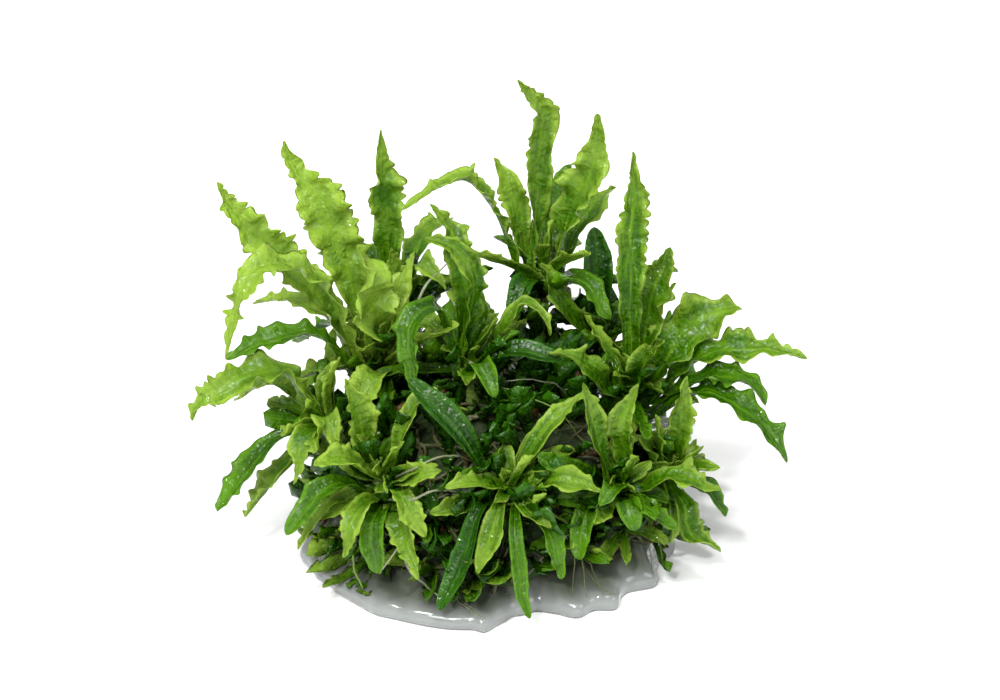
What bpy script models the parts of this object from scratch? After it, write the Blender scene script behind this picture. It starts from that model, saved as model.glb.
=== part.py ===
"""Downoi: a clump of ruffled aquarium plantlets growing from one tangle of roots on culture jelly.

Millimetres inside this file, metres in the finished meshes. +Z is up, the front is -Y and the
origin is the middle of the jelly's flat underside.

Every leaf is a closed blade with a ring of four corners at each station: left margin, midrib
above, right margin, midrib below. It is led from its plantlet's crown through the points given
for it and then settled, which means turned by a few degrees until it clears its neighbours.
"""
import math

import bmesh
import bpy
import numpy as np
from mathutils.bvhtree import BVHTree

MM = 0.001
GAP = 0.3
FLOOR_CLEARANCE = 0.2
UP = np.array([0.0, 0.0, 1.0])
FRONT = np.array([0.0, -0.9, 0.44])
GOLDEN_ANGLE = math.radians(137.5)

# Culture jelly: a poured disc about 78 wide, its edge drawn out in lobes where it was lifted.
GEL_HEIGHT = 3.6
GEL_STEPS = 36
GEL_OUTLINE = [  # compass angle in degrees, radius
    (-180, 39.0), (-164, 40.0), (-140, 38.5), (-119, 38.0), (-103, 37.5), (-92, 37.5),
    (-85, 31.0), (-72, 30.5), (-62, 36.0), (-50, 34.0), (-38, 35.5), (-22, 33.5), (-2, 35.5),
    (13, 39.5), (35, 38.5), (60, 37.0), (85, 38.5), (112, 38.0), (138, 37.0), (160, 38.5),
]
GEL_PROFILE = [  # distance in from the rim, height
    (1.2, 0.0), (0.2, 0.7), (0.0, 1.6), (0.8, 2.7), (3.2, 3.3), (8.0, GEL_HEIGHT),
]

# Root tangle: a lumpy low mound of roots and old stems.
TANGLE_HALF_LENGTH = 33.0
TANGLE_HALF_WIDTH = 26.0
TANGLE_HEIGHT = 29.0
TANGLE_STEPS = 20
TANGLE_RINGS = 7
TANGLE_ROUNDNESS = 0.7
TANGLE_LUMPS = [  # height as a share of the radius, lumps round the mound, twist from ring to ring
    (0.06, 3, 2.1), (0.05, 7, -1.7),
]

# Stems.
STEM_SIDES = 6
STEM_RINGS = 5
STEM_POINTS = 60
STEM_FOOT_RADIUS = 1.3
STEM_CROWN_RADIUS = 1.7
STEM_TIP = 0.8
STEM_BEND = (0.68, 0.68, 0.46)
LOWEST_LEAF_POINT = 8

# Leaves: share of the way along the blade, and there the share of the full width or thickness.
WIDTH_ALONG = [
    (0.0, 0.36), (0.15, 0.5), (0.4, 0.84), (0.62, 1.0), (0.8, 0.86), (0.92, 0.56), (1.0, 0.2),
]
THICK_ALONG = [(0.0, 0.52), (0.3, 0.45), (1.0, 0.26)]
THINNEST = 0.75
THICKER_WITH_WIDTH = 0.05
STATION_SPACING = 4.0
CLOSER_WHEN_RUFFLED = 1.4
FEWEST_STATIONS = 5
CURVE_STEPS = 16

# Shape of a blade: its channel, the waves and teeth of its margins, and where these are full.
FOLD = 0.22
WAVE = 0.24
WAVE_TURN = 2.5
RIGHT_MARGIN_LAG = 1.9
TOOTH = 0.16
TOOTH_TURN = 2.4
FACES_FRONT_FROM = 0.4
WAVES_FULL_FROM = 0.33

# Leaves on a stem: distance from its axis, more for a lower leaf, and depth below the crown.
BASE_DISTANCE = 2.8
BASE_SPREAD = 0.5
TOP_DEPTH = 0.6
LEAF_STEP = 1.2
SIDE_LEAF_STEP = 0.7
INNER_COUNT = 2
INNER_LENGTH = 9.5
INNER_WIDTH = 3.4
INNER_PATH = [(0.32, 0.5), (0.62, 0.95)]  # outward and upward, as shares of the length
INNER_SPREAD = 1.7


def leaf(tone, width, ruffle, facing, *path, fused=False):
    """One leaf: its tone, width, margin waves, how far it faces the front, and its way out."""
    return {"tone": tone, "width": width, "ruffle": ruffle, "facing": facing,
            "path": path, "fused": fused}


def side_leaf(tone, width, ruffle, facing, *path):
    """A smaller leaf that is one solid with its stem."""
    return leaf(tone, width, ruffle, facing, *path, fused=True)


# Plantlets: name, foot, crown, leaves. Leaf points are measured from the crown.
PLANTLETS = [
    ("back", (6, 10, 22), (10, 22, 52), [
        leaf("young", 6.5, 0.7, 0.8, (-1.5, 3, 13), (-1, 3, 24), (-1, 2, 34.5), (-5, -1, 42)),
        leaf("young", 7.5, 0.8, 0.7, (5, -1, 12), (9, -3, 21.5), (10, -3, 28.5), (9.5, -4, 34)),
        leaf("young", 5.0, 0.7, 0.6, (-6, 4, 11.5), (-8.5, 6, 18), (-10, 7, 21.5)),
        leaf("young", 5.0, 0.9, 0.3, (-9.5, -4, 13), (-14.5, -7, 21), (-19.5, -11, 23), (-28, -17, 20)),
        leaf("mature", 6.5, 0.6, 0.1, (3, 11, 7), (5, 19, 14)),
        side_leaf("mature", 6.5, 0.6, 0.1, (-2, 12, 8), (-6, 22, 9)),
        side_leaf("old", 5.0, 0.2, 0.3, (7, -6, 0), (13, -12, -7)),
        side_leaf("mature", 5.0, 0.4, 0.3, (-6, -8, 1), (-11, -13, -5)),
    ]),
    ("left", (-14, 2, 20), (-24, 4, 41), [
        leaf("young", 9.5, 1.0, 0.7, (-6, 5, 17), (-12, 7, 30.5), (-16, 9, 37), (-17.5, 10, 42.5)),
        leaf("young", 8.5, 1.0, 0.7, (0, -8, 17), (-1, -9, 24), (-2.5, -10, 29)),
        leaf("young", 6.5, 1.0, 0.3, (-10, -7, 18), (-20, -10, 23.5), (-25, -13, 20), (-29, -16, 6)),
        leaf("young", 7.0, 1.0, 0.6, (-10.5, -1, 11.5), (-20, -1, 23), (-27.5, -2, 32), (-30.5, -3, 38.5)),
        leaf("mature", 5.5, 0.5, 0.1, (-11, -6, 6.5), (-21.5, -8, 6), (-29, -10, 3.5)),
        side_leaf("mature", 6.5, 0.7, 0.1, (-12, 9, 7), (-25, 17, 6)),
        side_leaf("young", 4.5, 0.8, 0.5, (4, 4, 10), (7, 7, 18)),
        side_leaf("mature", 5.5, 0.5, 0.4, (0, -10, 0), (-3, -16, -8)),
    ]),
    ("back_left", (-10, 9, 20), (-20, 18, 47), [
        leaf("young", 6.5, 0.9, 0.8, (-2, 3, 19), (-3, 4, 35)),
        leaf("mature", 6.5, 0.7, 0.1, (-8, 8, 5), (-17, 13, 3)),
        side_leaf("mature", 6.0, 0.5, 0.1, (2, 11, 8), (5, 23, 8)),
        side_leaf("young", 4.5, 0.5, 0.3, (5, -5, 10), (10, -11, 6)),
    ]),
    ("middle", (-3, -1, 25), (-5, -2, 43), [
        leaf("young", 6.5, 0.5, 0.8, (-1, 4, 14.5), (-3.5, 7, 22.5), (-7, 9, 30.5)),
        leaf("young", 6.0, 0.8, 0.6, (0.5, -2, 13), (0, -3, 20.5), (-3, -3, 25.5), (-9, -3, 27)),
        leaf("mature", 5.5, 0.1, 0.4, (-7, -2, 12), (-13, -6, 10), (-12, -9, -2)),
        leaf("old", 5.0, 0.1, 0.3, (8, -4, 3), (18, -6, 2)),
        side_leaf("old", 5.0, 0.1, 0.4, (-6, 5, 6), (-12, 8, 8)),
        side_leaf("mature", 4.5, 0.2, 0.3, (6, 5, 13), (13, 5, 8)),
        side_leaf("old", 4.5, 0.2, 0.3, (2, -8, 2), (5, -13, -3)),
    ]),
    ("right", (16, 1, 20), (28, 0, 37), [
        leaf("young", 6.5, 0.8, 0.9, (-1, 4, 17), (-1, 7, 31.5), (-0.5, 9, 38.5), (-1, 10, 45)),
        leaf("young", 7.0, 1.0, 0.7, (3, 8, 13.5), (5.5, 10, 19.5), (7.5, 11, 24.5)),
        leaf("young", 9.5, 0.9, 0.5, (8.5, 4, 9), (15, 6, 14.5), (20, 8, 16)),
        leaf("young", 6.0, 1.0, 0.2, (16, 2, 5), (35, 0, 5)),
        leaf("mature", 6.0, 0.5, 0.1, (13.5, -2, 3.5), (22, -4, 5), (26.5, -6, 2.5)),
        leaf("mature", 6.0, 0.6, 0.1, (13, -6, 1), (21.5, -10, -0.5), (27.5, -13, -4.5), (31, -15, -8)),
        side_leaf("young", 5.5, 0.9, 0.6, (-9, -6, 5), (-17, -8, 11)),
        side_leaf("mature", 6.0, 0.6, 0.1, (10, 12, 3), (17, 21, 0)),
        side_leaf("young", 5.5, 0.8, 0.5, (1, -7, 7), (2, -11, 13)),
    ]),
    ("back_right", (12, 9, 20), (22, 17, 38), [
        leaf("old", 6.0, 0.3, 0.7, (-1, 2, 11), (-2, 4, 23)),
        leaf("mature", 6.5, 0.6, 0.1, (9, 12, 6), (15.5, 19, 6.5)),
        side_leaf("young", 4.5, 0.6, 0.7, (-5, -2, 9), (-8, -2, 21)),
        side_leaf("old", 5.0, 0.2, 0.3, (-4, -7, 3), (-8, -13, -1)),
    ]),
    ("front", (2, -13, 16), (3, -25, 26), [
        leaf("young", 5.0, 0.3, 0.1, (-3, -7, -4), (-6, -11, -13)),
        leaf("mature", 4.5, 0.1, 0.1, (1, -9, -6), (2, -13, -15), (4, -15, -21)),
        leaf("young", 5.0, 0.4, 0.3, (9, -3, 3), (18, -5, 1)),
        leaf("old", 5.5, 0.1, 0.5, (-10, 4, 10), (-20, 8, 19)),
        leaf("old", 5.0, 0.1, 0.1, (-6, -6, -3), (-8.5, -9, -13), (-12.5, -12, -22)),
        side_leaf("young", 4.5, 0.3, 0.5, (4, 2, 12), (11, 6, 22)),
        side_leaf("young", 5.5, 0.4, 0.4, (-6, -5, 3), (-13, -7, 3)),
        side_leaf("young", 4.5, 0.3, 0.4, (6, 3, 4), (12, 7, 4)),
        side_leaf("mature", 4.5, 0.3, 0.2, (7, -6, -6), (10, -9, -16)),
    ]),
    ("front_left", (-13, -11, 16), (-23, -21, 26), [
        leaf("young", 5.5, 0.5, 0.6, (-3, 2, 10), (-6, 2, 21)),
        leaf("mature", 5.5, 0.4, 0.2, (-9, -6, 1), (-18, -10, -8)),
        leaf("young", 5.0, 0.4, 0.2, (5, -8, 0), (9, -12, -8)),
        side_leaf("young", 4.5, 0.4, 0.3, (6, 4, 11), (11, 6, 15), (18, 7, 11)),
        side_leaf("young", 5.5, 0.5, 0.4, (-7, -2, 7), (-14, -4, 9)),
        side_leaf("mature", 5.0, 0.5, 0.2, (-5, -8, -4), (-8, -12, -12)),
        side_leaf("young", 5.0, 0.5, 0.4, (6, -5, 3), (12, -7, 6)),
        side_leaf("young", 5.0, 0.4, 0.3, (-1, -9, -5), (0, -12, -15)),
        side_leaf("mature", 5.0, 0.4, 0.2, (-10, -2, -5), (-16, -5, -14)),
    ]),
    ("low_left", (-18, -3, 17), (-35, -6, 32), [
        leaf("young", 7.0, 1.0, 0.2, (-6, -1, 9), (-13.5, -3, 10), (-22.5, -5, 6), (-25, -6, 1.5)),
        leaf("mature", 5.5, 0.1, 0.1, (-9, -4, -4), (-20, -8, -17)),
        side_leaf("mature", 6.0, 0.5, 0.1, (-9, 8, 3), (-18, 15, -4)),
        side_leaf("young", 5.0, 0.6, 0.2, (-5, -8, 0), (-8, -12, -8)),
        side_leaf("young", 5.0, 0.6, 0.3, (2, -8, 2), (4, -13, -3)),
    ]),
    ("front_right", (15, -11, 15), (25, -20, 24), [
        leaf("young", 5.0, 0.4, 0.6, (-5, -1, 10), (-8, -2, 23)),
        leaf("young", 5.5, 0.5, 0.6, (0, 1, 12), (3, 2, 21)),
        leaf("young", 6.0, 0.5, 0.3, (9, -2, 2), (19, -3, -1)),
        side_leaf("mature", 5.0, 0.3, 0.2, (1, -7, -1), (2, -10, -6)),
        side_leaf("young", 4.5, 0.5, 0.4, (2, 6, 8), (4, 11, 13)),
        side_leaf("mature", 5.0, 0.3, 0.2, (-7, -7, -3), (-9, -11, -12)),
        side_leaf("young", 5.0, 0.4, 0.4, (-1, -7, 3), (-3, -12, 2)),
        side_leaf("mature", 5.0, 0.4, 0.2, (4, -7, -3), (10, -8, -7)),
    ]),
    ("low_right", (20, -4, 14), (36, -9, 21), [
        leaf("young", 5.5, 0.6, 0.5, (2, 1, 9), (4, 3, 19)),
        leaf("young", 5.5, 0.2, 0.2, (1.5, -7, -4), (3, -10, -9), (9, -12, -12)),
        side_leaf("mature", 5.5, 0.4, 0.1, (5, 7, 2), (10, 12, -4)),
        side_leaf("young", 4.5, 0.5, 0.4, (5, 0, 4), (9, 1, 6)),
        side_leaf("young", 4.5, 0.5, 0.4, (-4, -2, 7), (-6, -3, 14)),
        side_leaf("mature", 4.5, 0.4, 0.2, (6, -2, -3), (10, -4, -9)),
    ]),
    ("rear_left", (-13, 12, 18), (-23, 28, 28), [
        leaf("mature", 7.0, 0.6, 0.1, (-9, 9, 4), (-20, 17, -5)),
        side_leaf("mature", 6.0, 0.5, 0.1, (2, 11, 3), (5, 19, -9)),
        side_leaf("young", 5.5, 0.5, 0.2, (-3, 5, 12), (-5, 9, 22)),
        side_leaf("young", 5.0, 0.4, 0.2, (10, 5, 3), (17, 8, -3)),
        side_leaf("old", 5.0, 0.2, 0.1, (-12, 1, -3), (-20, 3, -12)),
    ]),
    ("rear", (2, 13, 18), (2, 31, 27), [
        leaf("young", 6.5, 0.7, 0.1, (-6, 9, 7), (-13, 16, 8)),
        side_leaf("mature", 5.5, 0.2, 0.1, (3, 11, -1), (5, 16, -16)),
        side_leaf("young", 5.5, 0.5, 0.2, (1, 6, 11), (0, 12, 20)),
        side_leaf("old", 5.0, 0.1, 0.1, (-6, 8, -5), (-9, 11, -16)),
    ]),
    ("rear_right", (15, 10, 17), (27, 27, 25), [
        leaf("mature", 7.0, 0.7, 0.1, (10, 8, 5), (21, 14, -2)),
        side_leaf("mature", 5.5, 0.3, 0.1, (1, 10, 0), (2, 17, -12)),
        side_leaf("young", 5.5, 0.5, 0.2, (3, 5, 11), (7, 9, 19)),
        side_leaf("young", 5.0, 0.3, 0.2, (10, -1, 2), (18, -1, -4)),
    ]),
]

# Ways to settle a leaf: turn and lift in degrees, share of its length, and what each costs.
TURNS = (0, 5, -5, 10, -10, 16, -16, 23, -23, 31, -31, 40, -40, 55, -55, 75, -75)
LIFTS = (0, 5, -5, 10, -10, 16, -16, 22)
LENGTHS = (1.0, 0.93, 0.85, 0.76)
TURN_COST = 0.2
LIFT_COST = 0.25
SHORTENING_COST = 30.0

COLORS = {
    "young": (0.27, 0.46, 0.06),
    "mature": (0.11, 0.27, 0.03),
    "old": (0.03, 0.11, 0.01),
    "stem": (0.16, 0.29, 0.05),
    "gel": (0.62, 0.65, 0.60),
    "roots": (0.11, 0.10, 0.04),
}


def clear_scene():
    """Take every object out of the file."""
    for item in list(bpy.data.objects):
        bpy.data.objects.remove(item, do_unlink=True)


def make_material(name, roughness):
    """A plain material in the colour of that name."""
    material = bpy.data.materials.new(name)
    material.use_nodes = True
    shader = material.node_tree.nodes["Principled BSDF"]
    shader.inputs["Base Color"].default_value = (*COLORS[name], 1.0)
    shader.inputs["Roughness"].default_value = roughness
    return material


def make_object(name, points, faces, material=None):
    """An object from corners in millimetres, with its faces turned outward."""
    mesh = bpy.data.meshes.new(name)
    mesh.from_pydata([tuple(p * MM for p in point) for point in points], [], faces)
    work = bmesh.new()
    work.from_mesh(mesh)
    bmesh.ops.recalc_face_normals(work, faces=work.faces)
    work.to_mesh(mesh)
    work.free()
    if material:
        mesh.materials.append(material)
    item = bpy.data.objects.new(name, mesh)
    bpy.context.scene.collection.objects.link(item)
    return item


def ring_faces(rings, sides):
    """Side triangles between rings of corners that follow one another in the list."""
    faces = []
    for ring in range(rings - 1):
        for side in range(sides):
            start = ring * sides + side
            turn = ring * sides + (side + 1) % sides
            faces.append((start, turn, turn + sides))
            faces.append((start, turn + sides, start + sides))
    return faces


def is_one_body(mesh):
    """Whether a mesh is closed and all in one piece."""
    work = bmesh.new()
    work.from_mesh(mesh)
    closed = len(work.verts) > 0 and all(len(edge.link_faces) == 2 for edge in work.edges)
    found = set()
    waiting = list(work.verts)[:1]
    while waiting:
        corner = waiting.pop()
        if corner not in found:
            found.add(corner)
            waiting += [edge.other_vert(corner) for edge in corner.link_edges]
    whole = closed and len(found) == len(work.verts)
    work.free()
    return whole


def fuse(target, points, faces):
    """Join a solid to the target, unless that wouldn't leave one body."""
    tool = make_object("joined", points, faces)
    union = target.modifiers.new("union", "BOOLEAN")
    union.operation = "UNION"
    union.solver = "EXACT"
    union.object = tool
    scene_state = bpy.context.evaluated_depsgraph_get()
    joined = bpy.data.meshes.new_from_object(target.evaluated_get(scene_state))
    target.modifiers.remove(union)
    bpy.data.objects.remove(tool, do_unlink=True)
    if not is_one_body(joined):
        return False
    target.data = joined
    return True


def smooth_path(points, count):
    """Evenly spaced points on a Catmull-Rom curve through the given ones."""
    knots = np.array(points, dtype=float)
    padded = np.vstack([2 * knots[0] - knots[1], knots, 2 * knots[-1] - knots[-2]])
    dense = []
    for i in range(len(knots) - 1):
        a, b, c, d = padded[i:i + 4]
        for t in np.linspace(0.0, 1.0, CURVE_STEPS, endpoint=False):
            dense.append(0.5 * (2 * b + (c - a) * t + (2 * a - 5 * b + 4 * c - d) * t ** 2
                                + (3 * b - a - 3 * c + d) * t ** 3))
    dense.append(knots[-1])
    dense = np.array(dense)
    run = np.concatenate([[0.0], np.cumsum(np.linalg.norm(np.diff(dense, axis=0), axis=1))])
    wanted = np.linspace(0.0, run[-1], count)
    return np.column_stack([np.interp(wanted, run, dense[:, k]) for k in range(3)])


def unit(vector):
    """The vector at length one."""
    return vector / np.linalg.norm(vector)


def nudge(path, turn, lift, length):
    """Leaf points turned about the crown's upright line, lifted and shortened."""
    points = np.array(path, dtype=float) * length
    a = math.radians(turn)
    spin = np.array([[math.cos(a), -math.sin(a), 0], [math.sin(a), math.cos(a), 0], [0, 0, 1]])
    points = points @ spin.T
    reach = unit(points[-1] * (1, 1, 0))
    out = points @ reach
    b = math.radians(lift)
    risen = out * math.cos(b) - points[:, 2] * math.sin(b)
    height = out * math.sin(b) + points[:, 2] * math.cos(b)
    points = points + np.outer(risen - out, reach)
    points[:, 2] = height
    return points


def station_count(spec):
    """More stations where a leaf is long and its margins wave."""
    steps = np.diff([(0, 0, 0), *spec["path"]], axis=0)
    length = np.linalg.norm(steps, axis=1).sum()
    spacing = STATION_SPACING - CLOSER_WHEN_RUFFLED * spec["ruffle"]
    return max(FEWEST_STATIONS, round(length / spacing))


class Plantlet:
    """One rosette: its stem's curve out of the tangle and up, and how deep its leaves may sit."""

    def __init__(self, name, foot, crown, leaves):
        self.name = name
        self.foot = np.array(foot, dtype=float)
        self.crown = np.array(crown, dtype=float)
        self.own = [spec for spec in leaves if not spec["fused"]]
        self.side = [spec for spec in leaves if spec["fused"]]
        bend = self.foot + (self.crown - self.foot) * STEM_BEND
        self.line = smooth_path([self.foot, bend, self.crown], STEM_POINTS)
        self.point_gap = np.linalg.norm(self.line[-1] - self.line[-2])
        self.start = 0

    def down_stem(self, depth):
        """The point on the stem's axis that far below the crown, and the axis there."""
        lowest = self.start + LOWEST_LEAF_POINT
        number = max(lowest, STEM_POINTS - 1 - round(depth / self.point_gap))
        return self.line[number], unit(self.line[number] - self.line[number - 1])

    def depths(self):
        """How far below the crown the leaves sit: inner and own leaves, then side leaves."""
        below = TOP_DEPTH + LEAF_STEP * len(self.own)
        inner = [TOP_DEPTH + SIDE_LEAF_STEP * k for k in range(INNER_COUNT)]
        own = [TOP_DEPTH + LEAF_STEP * k for k in range(len(self.own))]
        return inner, own, [below + SIDE_LEAF_STEP * k for k in range(len(self.side))]


def blade_faces(stations):
    """Triangles of a leaf, cut alike above and below so that its thin margins stay closed."""
    faces = [(0, 1, 3), (1, 2, 3)]
    for start in range(0, 4 * (stations - 1), 4):
        for margin in (start, start + 2):
            for midrib in (start + 1, start + 3):
                faces.append((margin, midrib, midrib + 4))
                faces.append((margin, midrib + 4, margin + 4))
    last = 4 * (stations - 1)
    return faces + [(last + k, last + (k + 1) % 4, last + 4) for k in range(4)]


def blade(plantlet, depth, spec, grow=0.0, change=(0, 0, 1.0)):
    """Corners and faces of one leaf: stations of four corners and one corner at the tip."""
    stations = station_count(spec)
    path = nudge(spec["path"], *change)
    reach = unit(path[-1] * (1, 1, 0))
    across = unit(np.cross(UP, reach))
    base, lean = plantlet.down_stem(depth)
    if not spec["fused"]:
        away = unit(reach - lean * np.dot(reach, lean))
        base = base + away * (BASE_DISTANCE + BASE_SPREAD * (depth - TOP_DEPTH))
    line = smooth_path([base, *(path + plantlet.crown)], stations + 1)
    share = np.linspace(0.0, 1.0, stations + 1)
    width = spec["width"] * np.interp(share, *zip(*WIDTH_ALONG))
    thick = np.interp(share, *zip(*THICK_ALONG)) * (THINNEST + THICKER_WITH_WIDTH * spec["width"])
    corners = []
    for i in range(stations):
        along = unit(line[i + 1] - line[max(i - 1, 0)])
        natural = np.cross(along, across)
        front = FRONT - along * np.dot(FRONT, along)
        facing = spec["facing"] * min(1.0, share[i] / FACES_FRONT_FROM)
        above = unit(unit(natural) * (1 - facing) + front * facing)
        side = np.cross(above, along)
        tooth = TOOTH * spec["ruffle"] * math.cos(TOOTH_TURN * i + depth)
        half = 0.5 * width[i] * (1 + tooth) + grow
        wave = WAVE * spec["ruffle"] * width[i] * min(1.0, share[i] / WAVES_FULL_FROM)
        turn = WAVE_TURN * i + depth
        left = FOLD * half + wave * math.cos(turn)
        right = FOLD * half + wave * math.cos(turn + RIGHT_MARGIN_LAG)
        body = thick[i] + grow
        corners += [line[i] + side * half + above * left, line[i] + above * body,
                    line[i] - side * half + above * right, line[i] - above * body]
    corners.append(line[-1])
    return corners, blade_faces(stations)


def tree_of(points, faces):
    """A search tree of a solid's faces, with the solid's bounds."""
    box = np.array(points)
    return BVHTree.FromPolygons([tuple(p) for p in points], faces), box.min(axis=0), box.max(axis=0)


def tree_of_object(item):
    """The same for a finished object, in millimetres."""
    points = [tuple(c / MM for c in v.co) for v in item.data.vertices]
    return tree_of(points, [tuple(p.vertices) for p in item.data.polygons])


def clears(shape, others):
    """Whether a solid keeps clear of all the others."""
    tree, low, high = tree_of(*shape)
    for other, other_low, other_high in others:
        if np.all(low <= other_high) and np.all(high >= other_low) and tree.overlap(other):
            return False
    return True


def changes():
    """Every way to settle a leaf, the smallest change first."""
    ways = [(t, l, s) for t in TURNS for l in LIFTS for s in LENGTHS]
    return sorted(ways, key=cost)


def cost(way):
    """How much a way to settle a leaf changes it."""
    turn, lift, length = way
    return abs(turn) * TURN_COST + abs(lift) * LIFT_COST + (1 - length) * SHORTENING_COST


def settle(plantlet, depth, spec, others, sisters=()):
    """The ways in which a leaf clears the others, and its outer faces its sister leaves."""
    for change in changes():
        points, faces = blade(plantlet, depth, spec, GAP, change)
        if min(p[2] for p in points) < FLOOR_CLEARANCE or not clears((points, faces), others):
            continue
        if clears((points, outer_faces(faces)), sisters):
            yield change


def outer_faces(faces):
    """The faces of a leaf past its first station, away from the stem."""
    return [face for face in faces if min(face) >= 4]


def culture_gel(material):
    """The poured jelly, flat below, rounded at its drawn-out rim."""
    angles, radii = zip(*GEL_OUTLINE)
    angles = (*angles, 180)
    radii = (*radii, radii[0])
    points = []
    for inset, height in GEL_PROFILE:
        for k in range(GEL_STEPS):
            turn = -180 + 360 * k / GEL_STEPS
            radius = np.interp(turn, angles, radii) - inset
            a = math.radians(turn)
            points.append((radius * math.cos(a), radius * math.sin(a), height))
    faces = ring_faces(len(GEL_PROFILE), GEL_STEPS)
    top = (len(GEL_PROFILE) - 1) * GEL_STEPS
    faces += [tuple(range(GEL_STEPS)), tuple(range(top, top + GEL_STEPS))]
    return make_object("culture_gel", points, faces, material)


def tangle_shape(grow=0.0):
    """Corners and faces of the mound of roots."""
    floor = GEL_HEIGHT + GAP - grow
    points = []
    for ring in range(TANGLE_RINGS):
        rise = 0.5 * math.pi * ring / TANGLE_RINGS
        for k in range(TANGLE_STEPS):
            a = 2 * math.pi * k / TANGLE_STEPS
            lump = sum(size * math.sin(count * a + twist * ring) for size, count, twist in TANGLE_LUMPS)
            spread = (1 + lump) * math.cos(rise) ** TANGLE_ROUNDNESS
            points.append(((TANGLE_HALF_LENGTH * spread + grow) * math.cos(a),
                           (TANGLE_HALF_WIDTH * spread + grow) * math.sin(a),
                           floor + (TANGLE_HEIGHT + 2 * grow) * math.sin(rise)))
    points.append((0.0, 0.0, floor + TANGLE_HEIGHT + 2 * grow))
    tip = len(points) - 1
    faces = ring_faces(TANGLE_RINGS, TANGLE_STEPS)
    faces += [(tip - TANGLE_STEPS + k, tip - TANGLE_STEPS + (k + 1) % TANGLE_STEPS, tip)
              for k in range(TANGLE_STEPS)]
    faces.append(tuple(range(TANGLE_STEPS)))
    return points, faces


def stem_shape(plantlet, grow=0.0):
    """Corners and faces of a stem, from where it comes out of the tangle to its crown."""
    line = smooth_path(plantlet.line[plantlet.start:-1], STEM_RINGS)
    points = []
    for i, centre in enumerate(line):
        along = unit(line[min(i + 1, STEM_RINGS - 1)] - line[max(i - 1, 0)])
        side = unit(np.cross(along, (0.3, 1.0, 0.0)))
        other = np.cross(along, side)
        radius = np.interp(i, (0, STEM_RINGS - 1), (STEM_FOOT_RADIUS, STEM_CROWN_RADIUS)) + grow
        for k in range(STEM_SIDES):
            a = 2 * math.pi * k / STEM_SIDES
            points.append(centre + radius * (math.cos(a) * side + math.sin(a) * other))
    points.append(plantlet.crown + unit(plantlet.crown - line[-2]) * (STEM_TIP + grow))
    tip = len(points) - 1
    faces = ring_faces(STEM_RINGS, STEM_SIDES)
    faces += [(tip - STEM_SIDES + k, tip - STEM_SIDES + (k + 1) % STEM_SIDES, tip)
              for k in range(STEM_SIDES)]
    faces.append(tuple(range(STEM_SIDES)))
    return points, faces


def root_stem(plantlet, tangle):
    """Start the stem where it comes out of the tangle."""
    while not clears(stem_shape(plantlet, GAP), [tangle]):
        plantlet.start += 1


def inner_leaves(number):
    """The small young leaves in the heart of a plantlet, a golden angle apart."""
    leaves = []
    for k in range(INNER_COUNT):
        a = GOLDEN_ANGLE * (k + INNER_SPREAD * number)
        away = np.array([math.cos(a), math.sin(a), 0.0])
        path = [(away * out + UP * up) * INNER_LENGTH for out, up in INNER_PATH]
        leaves.append(side_leaf("young", INNER_WIDTH, 0.4, 0.2, *path))
    return leaves


def grow_own_leaves(plantlet, materials, taken):
    """A plantlet's large leaves, each a solid of its own."""
    for number, (spec, depth) in enumerate(zip(plantlet.own, plantlet.depths()[1])):
        change = next(settle(plantlet, depth, spec, taken))
        shape = blade(plantlet, depth, spec, 0.0, change)
        make_object(f"leaf_{plantlet.name}_{number + 1}", *shape, materials[spec["tone"]])
        taken.append(tree_of(*shape))


def grow_side_leaves(plantlet, stem, inner, others):
    """The inner leaves and then the side leaves, joined to the stem."""
    inner_depths, _, side_depths = plantlet.depths()
    sisters = []
    for spec, depth in zip(inner + plantlet.side, inner_depths + side_depths):
        for change in settle(plantlet, depth, spec, others, sisters):
            points, faces = blade(plantlet, depth, spec, 0.0, change)
            if fuse(stem, points, faces):
                sisters.append(tree_of(points, outer_faces(faces)))
                break
        else:
            raise ValueError(f"stem_{plantlet.name} has no room for a leaf {depth} below its crown")


def main():
    """Build the jelly, the tangle, the stems and the leaves, each clear of the others."""
    clear_scene()
    materials = {name: make_material(name, 0.3) for name in COLORS}
    gel = culture_gel(materials["gel"])
    tangle = make_object("root_tangle", *tangle_shape(), materials["roots"])
    mound = tree_of_object(tangle)
    plantlets = [Plantlet(*row) for row in PLANTLETS]
    for plantlet in plantlets:
        root_stem(plantlet, mound)
    shapes = [stem_shape(plantlet) for plantlet in plantlets]
    taken = [tree_of(*shape) for shape in shapes] + [tree_of_object(gel), mound]
    for plantlet in plantlets:
        grow_own_leaves(plantlet, materials, taken)
    for number, plantlet in enumerate(plantlets):
        stem = make_object(f"stem_{plantlet.name}", *shapes[number], materials["stem"])
        others = taken[:number] + taken[number + 1:]
        grow_side_leaves(plantlet, stem, inner_leaves(number), others)
        taken[number] = tree_of_object(stem)


main()
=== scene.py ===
"""Downoi: a wet clump of ruffled plantlets on the pad of culture jelly that they grew on."""

import math
from functools import partialmethod
from types import SimpleNamespace

import bmesh
import bpy
import numpy as np
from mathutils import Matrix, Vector, noise


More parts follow.
